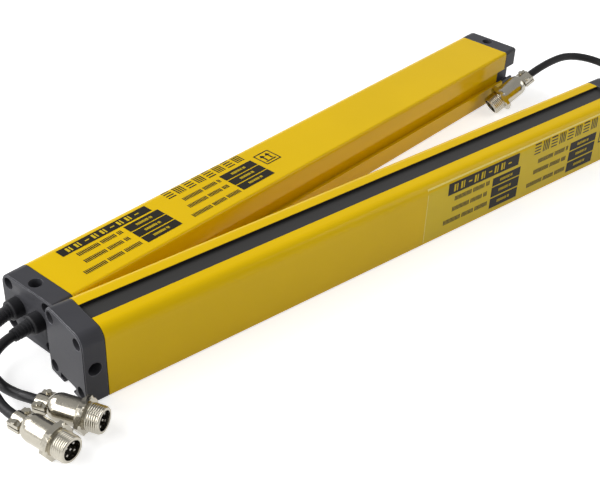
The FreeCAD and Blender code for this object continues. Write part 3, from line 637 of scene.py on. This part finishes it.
def strip_fields(start, low, high):
    """Light bars in the black strip, a broad and a slim one twice, and then a dash."""
    tall = (high - low) * BAR_SHARE
    base = (low + high - tall) / 2
    dash_low, dash_high = (base + tall * share for share in DASH_SHARES)
    fields = []
    for index in range(STRIP_MARKS):
        left = start + STRIP_MARGIN + index * STRIP_PITCH
        if index % STRIP_GROUP == STRIP_GROUP - 1:
            near, far = STRIP_DASH
            fields.append(box_field(left + near, left + far, dash_low, dash_high))
        else:
            fields += [box_field(left + near, left + far, base, base + tall)
                       for near, far in STRIP_BARS]
    return fields


def title_fields(start):
    """A row of large hatched squares, with lines that lie and stand by turns."""
    low, high = TITLE_RISE
    pitch = (TITLE_SPAN[1] - TITLE_SPAN[0]) / TITLE_MARKS
    fields = []
    for index in range(TITLE_MARKS):
        left = start + TITLE_SPAN[0] + index * pitch
        for line in range(TITLE_LINES):
            share = line / (TITLE_LINES - 1)
            if index % 2:
                across = left + share * (TITLE_SIDE - TITLE_LINE)
                fields.append(box_field(across, across + TITLE_LINE, low, high))
            else:
                level = low + share * (high - low - TITLE_LINE)
                fields.append(box_field(left, left + TITLE_SIDE, level, level + TITLE_LINE))
    return fields


def sign_fields(start):
    """A square frame round two arrows that point to the window side."""
    left, right, low, high = SIGN_BOX
    left += start
    right += start
    inset, foot, top = SIGN_FOOT
    fields = [
        box_field(left, right, low, low + SIGN_LINE),
        box_field(left, right, high - SIGN_LINE, high),
        box_field(left, left + SIGN_LINE, low + SIGN_LINE, high - SIGN_LINE),
        box_field(right - SIGN_LINE, right, low + SIGN_LINE, high - SIGN_LINE),
        box_field(left + inset, right - inset, low + foot, low + top),
    ]
    for middle in (left + ARROW_INSET, right - ARROW_INSET):
        fields.append(box_field(middle - STEM_HALF, middle + STEM_HALF,
                                low + STEM_FOOT, high - STEM_TOP))
        fields.append(((middle - HEAD_HALF, high - HEAD_FOOT),
                       (middle + HEAD_HALF, high - HEAD_FOOT),
                       (middle + HEAD_TIP, high - HEAD_TOP),
                       (middle - HEAD_TIP, high - HEAD_TOP)))
    return fields


def print_fields(bar):
    """The dark fields of a bar's print, and the light marks that stand on them."""
    start = PRINT_START[bar]
    strip_low, strip_high = STRIP_RISE[bar]
    dark = [box_field(start, start + STRIP_LENGTH, strip_low, strip_high)]
    light = strip_fields(start, strip_low, strip_high)
    length, height = CELL_WORD
    for left, right in CELL_SPANS:
        middle = start + (left + right) / 2
        for low, high in CELL_ROWS[bar]:
            dark.append(box_field(start + left, start + right, low, high))
            light += word_fields(middle - length / 2, middle + length / 2,
                                 (low + high - height) / 2, height)
    for left, right, low in TEXT_ROWS:
        dark += word_fields(start + left, start + right, low, TEXT_HEIGHT)
    return dark + title_fields(start) + sign_fields(start), light


def add_film(axes):
    """The emitter's label film, and a pale line along its cut edge that is a painted highlight."""
    left, right = FILM_SPAN
    low, high = FILM_RISE
    film = [box_field(left, right, low, high)]
    # A pale strip along the film's top and left edges, painted as a highlight.
    rim = [box_field(left, right, high - FILM_HIGHLIGHT_WIDTH, high),
           box_field(left, left + FILM_HIGHLIGHT_WIDTH / 2, low, high - FILM_HIGHLIGHT_WIDTH)]
    mesh = label_mesh("emitter_label_film", axes, film, FILM_LIFT)
    new_piece("emitter_label_film", mesh, label_film)
    mesh = label_mesh("emitter_film_edge", axes, rim, FILM_HIGHLIGHT_LIFT)
    new_piece("emitter_film_edge", mesh, film_edge_painted_highlight)


def shade_strip_mesh(name, axes):
    """Two thin black strips of painted shade along the window, one up the wall of each lip."""
    corner, along, rise, out = axes
    low, high = SHADE_STRIP_RISE
    shape = bmesh.new()
    for wall in (WINDOW_SIDE, BAR_WIDTH - WINDOW_SIDE - SHADE_STRIP_WIDTH):
        sides = Matrix((along * HOUSING_LENGTH, out * SHADE_STRIP_WIDTH, rise * (high - low)))
        middle = along * BAR_LENGTH - out * (wall * 2 + SHADE_STRIP_WIDTH) + rise * (low + high)
        place = (sides.transposed() * MM).to_4x4()
        place.translation = corner + middle / 2 * MM
        bmesh.ops.create_cube(shape, size=1, matrix=place)
    bmesh.ops.recalc_face_normals(shape, faces=shape.faces)
    return finished_mesh(name, shape)


def plug_matrix(plug):
    """The place of a plug: x from its cable end to its mouth, y level."""
    mount = MOUNTS[plug + "_thread"]
    ahead = Vector(mount["axis"])
    level = Vector((0, 0, 1)).cross(ahead).normalized()
    up = ahead.cross(level)
    place = Matrix((ahead, level, up)).transposed().to_4x4()
    place.translation = Vector(mount["pos_m"]) - ahead * THREAD_MIDDLE * MM
    return place


def flange_radius(limit, turn):
    """The six-sided flange, cut off by a limit that turns its corners."""
    from_middle = turn % FLANGE_SECTOR - FLANGE_SECTOR / 2
    return min(limit, FLANGE_ACROSS / 2 / math.cos(from_middle))


def thread_radius(station, turn):
    """The helical thread, which fades out at the flange and at the chamfered mouth."""
    from_flange = (station - FLANGE_END - FLANGE_PLAIN) / FLANGE_FADE
    from_mouth = (MOUTH - station - MOUTH_PLAIN) / MOUTH_FADE
    share = min(1, max(0, from_mouth), max(0, from_flange))
    wave = (math.cos(2 * math.pi * station / THREAD_PITCH - turn) + 1) / 2
    ridge = THREAD_HEIGHT * share * min(1, wave * THREAD_CREST)
    chamfer = max(0, station - MOUTH + RIM_LENGTH) * RIM_SLOPE
    return THREAD_RADIUS - THREAD_HEIGHT + ridge - chamfer


def barrel_mesh(name, place):
    """The screw barrel: spigot, six-sided flange, helical thread and open bore."""
    turns = [2 * math.pi * step / BARREL_STEPS for step in range(BARREL_STEPS)]
    corner = FLANGE_ACROSS / 2 / math.cos(FLANGE_SECTOR / 2)
    cone = FLANGE_ACROSS / 2 + FLANGE_CONE
    flange = ((FLANGE_START, cone), (FLANGE_START + FLANGE_BEVEL, corner),
              (FLANGE_END - FLANGE_BEVEL, corner), (FLANGE_END, cone))
    thread = [FLANGE_END + index / THREAD_RINGS
              for index in range(int((MOUTH - FLANGE_END) * THREAD_RINGS) + 1)]
    profile = [(station, [SPIGOT_RADIUS for turn in turns])
               for station in (SPIGOT_START, FLANGE_START)]
    profile += [(station, [flange_radius(limit, turn) for turn in turns])
                for station, limit in flange]
    profile += [(station, [thread_radius(station, turn) for turn in turns])
                for station in thread]
    profile += [(station, [BORE_RADIUS for turn in turns])
                for station in (MOUTH, INSERT_FACE, SPIGOT_START)]
    rings = []
    for station, radii in profile:
        spots = [Vector((station, radius * math.cos(turn), radius * math.sin(turn))) * MM
                 for radius, turn in zip(radii, turns)]
        rings.append([place @ spot for spot in spots])
    return closed_loft(name, rings)


def point_along(points, distance):
    """The point at a distance in millimetres along a line of points."""
    left = distance * MM
    for before, after in zip(points, points[1:]):
        run = after - before
        if left <= run.length:
            break
        left -= run.length
    return before + run.normalized() * left


def sleeve_mesh(name, points):
    """The ribbed tail of a gland, along the points of its cable's own line."""
    profile = [(SLEEVE_START, SLEEVE_BORE)]
    for step in range(SLEEVE_RINGS + 1):
        share = step / SLEEVE_RINGS
        groove = 0 if share * SLEEVE_RIBS % 1 < RIB_SHARE else SLEEVE_GROOVE
        profile.append((SLEEVE_START + (SLEEVE_END - SLEEVE_START) * share,
                        SLEEVE_WIDE - (SLEEVE_WIDE - SLEEVE_NARROW) * share - groove))
    profile.append((SLEEVE_END, SLEEVE_BORE))
    rings = []
    for station, radius in profile:
        middle = point_along(points, station)
        ahead = (point_along(points, station + SLEEVE_AIM)
                 - point_along(points, station - SLEEVE_AIM)).normalized()
        side = ahead.cross(Vector((0, 0, 1))).normalized()
        up = side.cross(ahead)
        ring = []
        for step in range(SLEEVE_STEPS):
            turn = 2 * math.pi * step / SLEEVE_STEPS
            ring.append(middle + (side * math.cos(turn) + up * math.sin(turn)) * radius * MM)
        rings.append(ring)
    return closed_loft(name, rings)


def cable_line(name, route):
    """A cable's smooth line, with the points of its route as control points."""
    line = bpy.data.curves.new(name, "CURVE")
    line.dimensions = "3D"
    line.resolution_u = CABLE_RESOLUTION
    spline = line.splines.new("NURBS")
    spline.points.add(len(route) - 1)
    for point, spot in zip(spline.points, route):
        point.co = (*spot, 1)
    spline.order_u = 3
    spline.use_endpoint_u = True
    piece = bpy.data.objects.new(name, line)
    bpy.context.scene.collection.objects.link(piece)
    return piece


def drawn_points(piece):
    """The points of a curve with no bevel, as it is drawn."""
    drawn = bpy.data.meshes.new_from_object(piece)
    points = [vertex.co.copy() for vertex in drawn.vertices]
    bpy.data.meshes.remove(drawn)
    return points


class CURTAIN_OT_housings(bpy.types.Operator):
    """Powder coat on both extruded housings"""
    bl_idname = "curtain.housings"
    bl_label = "Housings"

    def execute(self, context):
        for bar in BARS:
            dress(bar + "_housing", baked_powder_coat)
        return {"FINISHED"}


class CURTAIN_OT_windows(bpy.types.Operator):
    """Dark acrylic strips over the beams, with a black strip of painted shade on each side"""
    bl_idname = "curtain.windows"
    bl_label = "Windows"

    def execute(self, context):
        for bar in BARS:
            dress(bar + "_window", smoked_acrylic)
            # A black strip of painted shade up the wall of each lip beside the window.
            mesh = shade_strip_mesh(bar + "_window_seal", bar_axes(bar))
            new_piece(bar + "_window_seal", mesh, window_painted_shade)
        return {"FINISHED"}


class CURTAIN_OT_caps(bpy.types.Operator):
    """Moulded end caps with their gaskets and screws"""
    bl_idname = "curtain.caps"
    bl_label = "End caps"

    def execute(self, context):
        edge = context.scene.curtain_sizes.edge
        for bar in BARS:
            for end in ("end", "cable"):
                # The rounded edges of each cap take nylon painted paler, a painted highlight.
                dress("%s_%s_cap" % (bar, end), moulded_nylon, edge, nylon_edges_painted_highlight)
                dress("%s_%s_gasket" % (bar, end), sheet_rubber)
                dress("%s_%s_screws" % (bar, end), black_oxide_steel)
        return {"FINISHED"}


class CURTAIN_OT_optics(bpy.types.Operator):
    """Boards, chips, headers, light tubes, lenses and diodes inside the bars"""
    bl_idname = "curtain.optics"
    bl_label = "Optics"

    def execute(self, context):
        inside = (
            ("_board", solder_mask),
            ("_board_chips", chip_epoxy),
            ("_cable_header", moulded_pbt),
            ("_lens_carrier", light_tight_moulding),
            ("_lenses", polished_acrylic),
            ("_diodes", tinted_epoxy),
        )
        for bar in BARS:
            for part, make in inside:
                dress(bar + part, make)
        return {"FINISHED"}


class CURTAIN_OT_print(bpy.types.Operator):
    """Label film and generic printed fields on the label side of each bar"""
    bl_idname = "curtain.print"
    bl_label = "Film and print"

    def execute(self, context):
        for bar in BARS:
            axes = bar_axes(bar)
            if bar == "emitter":
                add_film(axes)
            dark, light = print_fields(bar)
            mesh = label_mesh(bar + "_print", axes, dark, INK_LIFT)
            new_piece(bar + "_print", mesh, screen_ink)
            mesh = label_mesh(bar + "_print_marks", axes, light, MARK_LIFT)
            new_piece(bar + "_print_marks", mesh, light_ink)
        return {"FINISHED"}


class CURTAIN_OT_plugs(bpy.types.Operator):
    """Metal half connectors: shells, clamps and screws, screw barrels, contact blocks and pins"""
    bl_idname = "curtain.plugs"
    bl_label = "Plugs"

    def execute(self, context):
        for plug in PLUGS:
            dress(plug + "_shell", nickel_plate)
            dress(plug + "_clamp", nickel_plate)
            dress(plug + "_clamp_screws", nickel_plate)
            dress(plug + "_insert", moulded_pbt)
            dress(plug + "_pins", silver_plate)
            mesh = barrel_mesh(plug + "_barrel", plug_matrix(plug))
            barrel = new_piece(plug + "_barrel", mesh, nickel_plate)
            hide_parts(plug + "_socket")
        return {"FINISHED"}


class CURTAIN_OT_cables(bpy.types.Operator):
    """Cables on their routes, with their moulded glands"""
    bl_idname = "curtain.cables"
    bl_label = "Cables"

    def execute(self, context):
        diameter = context.scene.curtain_sizes.cable_diameter
        for cable, route in CABLE_ROUTES.items():
            gland, plug = CABLE_ENDS[cable]
            piece = cable_line(cable + "_jacket", route)
            mesh = sleeve_mesh(gland + "_tail", drawn_points(piece))
            tail = new_piece(gland + "_tail", mesh, moulded_elastomer)
            piece.data.bevel_depth = diameter / 2
            piece.data.bevel_resolution = JACKET_RESOLUTION
            piece.data.use_fill_caps = True
            piece.data.materials.append(material(extruded_jacket))
            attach(piece, "root")
            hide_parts(cable)
            on_it = [dress(gland, moulded_elastomer), tail, bpy.data.objects[plug + "_barrel"]]
            on_it += [frame["nodes"][plug + part] for part in PLUG_PARTS]
        return {"FINISHED"}


class CURTAIN_OT_studio(bpy.types.Operator):
    """Floor, surround, softboxes and the camera"""
    bl_idname = "curtain.studio"
    bl_label = "Studio"

    def execute(self, context):
        scene = context.scene
        studio = scene.curtain_studio
        scene.view_settings.view_transform = "Standard"
        make_floor(studio.floor_size)
        make_surround(studio.fill)
        for name, (place, side, setting) in SOFTBOXES.items():
            softbox(name, place, side, getattr(studio, setting))
        make_camera(scene)
        return {"FINISHED"}


def seen_directly(tree):
    """One where the camera, a reflection or a view through glass sees it, nought for its light."""
    path = add_node(tree, "ShaderNodeLightPath")
    both = add_node(tree, "ShaderNodeMath", {"operation": "MAXIMUM"}, links={
        0: path.outputs["Is Camera Ray"], 1: path.outputs["Is Glossy Ray"]})
    every = add_node(tree, "ShaderNodeMath", {"operation": "MAXIMUM"}, links={
        0: both.outputs["Value"], 1: path.outputs["Is Transmission Ray"]})
    return every.outputs["Value"]


def make_floor(size):
    """A pale paper floor that is white where it is lit and keeps the shadow of the part."""
    half = size / 2
    corners = [(-half, -half, 0), (half, -half, 0), (half, half, 0), (-half, half, 0)]
    mesh = bpy.data.meshes.new("studio_floor")
    mesh.from_pydata(corners, [], [(0, 1, 2, 3)])
    floor = bpy.data.objects.new("studio_floor", mesh)
    bpy.context.scene.collection.objects.link(floor)
    paper = bpy.data.materials.new("white paper floor")
    paper.use_nodes = True
    tree = paper.node_tree
    tree.nodes.clear()
    sheet = add_node(tree, "ShaderNodeBsdfDiffuse", values={"Color": (PAPER, PAPER, PAPER, 1)})
    glow = add_node(tree, "ShaderNodeEmission",
                    values={"Color": (1, 1, 1, 1), "Strength": PAPER_GLOW})
    both = add_node(tree, "ShaderNodeAddShader",
                    links={0: sheet.outputs["BSDF"], 1: glow.outputs["Emission"]})
    chosen = add_node(tree, "ShaderNodeMixShader", links={
        0: seen_directly(tree), 1: sheet.outputs["BSDF"], 2: both.outputs["Shader"]})
    add_node(tree, "ShaderNodeOutputMaterial", links={"Surface": chosen.outputs["Shader"]})
    mesh.materials.append(paper)


def make_surround(fill):
    """A soft surround: white low down where it is looked at, dimmer overhead, weaker as light."""
    world = bpy.data.worlds.new("studio surround")
    bpy.context.scene.world = world
    world.use_nodes = True
    tree = world.node_tree
    tree.nodes.clear()
    way = add_node(tree, "ShaderNodeTexCoord")
    parts = add_node(tree, "ShaderNodeSeparateXYZ", links={"Vector": way.outputs["Generated"]})
    look = add_node(tree, "ShaderNodeMapRange",
                    values={"From Min": WHITE_UP_TO, "From Max": DIM_FROM,
                            "To Min": 1.0, "To Max": OVERHEAD},
                    links={"Value": parts.outputs["Z"]})
    strength = add_node(tree, "ShaderNodeMapRange", values={"To Min": fill},
                        links={"Value": seen_directly(tree), "To Max": look.outputs["Result"]})
    light = add_node(tree, "ShaderNodeBackground", values={"Color": (1, 1, 1, 1)},
                     links={"Strength": strength.outputs["Result"]})
    add_node(tree, "ShaderNodeOutputWorld", links={"Surface": light.outputs["Background"]})


def softbox(name, place, side, power):
    """A square soft lamp aimed at the middle of the part."""
    lamp = bpy.data.lights.new(name, "AREA")
    lamp.size = side
    lamp.energy = power
    holder = bpy.data.objects.new(name, lamp)
    holder.location = place
    aim = Vector(SOFTBOX_AIM) - Vector(place)
    holder.rotation_euler = aim.to_track_quat("-Z", "Y").to_euler()
    bpy.context.scene.collection.objects.link(holder)


def make_camera(scene):
    """The camera of the photograph."""
    azimuth = math.radians(CAMERA_AZIMUTH)
    down = math.radians(CAMERA_DOWN)
    roll = math.radians(CAMERA_ROLL)
    ahead = Vector((math.sin(azimuth) * math.cos(down), math.cos(azimuth) * math.cos(down),
                    -math.sin(down)))
    right = Vector((math.cos(azimuth), -math.sin(azimuth), 0))
    up = right.cross(ahead)
    tilted_right = right * math.cos(roll) + up * math.sin(roll)
    tilted_up = up * math.cos(roll) - right * math.sin(roll)
    place = Matrix((tilted_right, tilted_up, -ahead)).transposed().to_4x4()
    place.translation = Vector(CAMERA_PLACE) * MM
    lens = bpy.data.cameras.new("photo camera")
    lens.lens = CAMERA_LENS
    lens.sensor_fit = "HORIZONTAL"
    lens.sensor_width = SENSOR_WIDTH
    lens.clip_start = CAMERA_NEAR * MM
    camera = bpy.data.objects.new("photo camera", lens)
    camera.matrix_world = place
    scene.collection.objects.link(camera)
    scene.camera = camera


SETTINGS = {
    "curtain_finishes": CURTAIN_PG_finishes,
    "curtain_sizes": CURTAIN_PG_sizes,
    "curtain_studio": CURTAIN_PG_studio,
}
STEPS = (
    CURTAIN_OT_housings,
    CURTAIN_OT_windows,
    CURTAIN_OT_caps,
    CURTAIN_OT_optics,
    CURTAIN_OT_print,
    CURTAIN_OT_plugs,
    CURTAIN_OT_cables,
    CURTAIN_OT_studio,
)


class CURTAIN_PT_panel(bpy.types.Panel):
    """The settings and the steps, in order"""
    bl_idname = "CURTAIN_PT_panel"
    bl_label = "Light curtain"
    bl_space_type = "VIEW_3D"
    bl_region_type = "UI"
    bl_category = "Light curtain"

    def draw(self, context):
        for group in SETTINGS:
            settings = getattr(context.scene, group)
            for name in settings.__annotations__:
                self.layout.prop(settings, name)
        for step in STEPS:
            self.layout.operator(step.bl_idname)


CLASSES = (*SETTINGS.values(), *STEPS, CURTAIN_PT_panel)


def register():
    """Add the classes, and the settings to every scene."""
    for entry in CLASSES:
        bpy.utils.register_class(entry)
    for name, group in SETTINGS.items():
        setattr(bpy.types.Scene, name, bpy.props.PointerProperty(type=group))


def unregister():
    """Take the settings and the classes away again."""
    for name in SETTINGS:
        delattr(bpy.types.Scene, name)
    for entry in reversed(CLASSES):
        bpy.utils.unregister_class(entry)


def main():
    """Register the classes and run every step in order."""
    register()
    for step in STEPS:
        family, name = step.bl_idname.split(".")
        getattr(getattr(bpy.ops, family), name)()


if __name__ == "__main__":
    main()
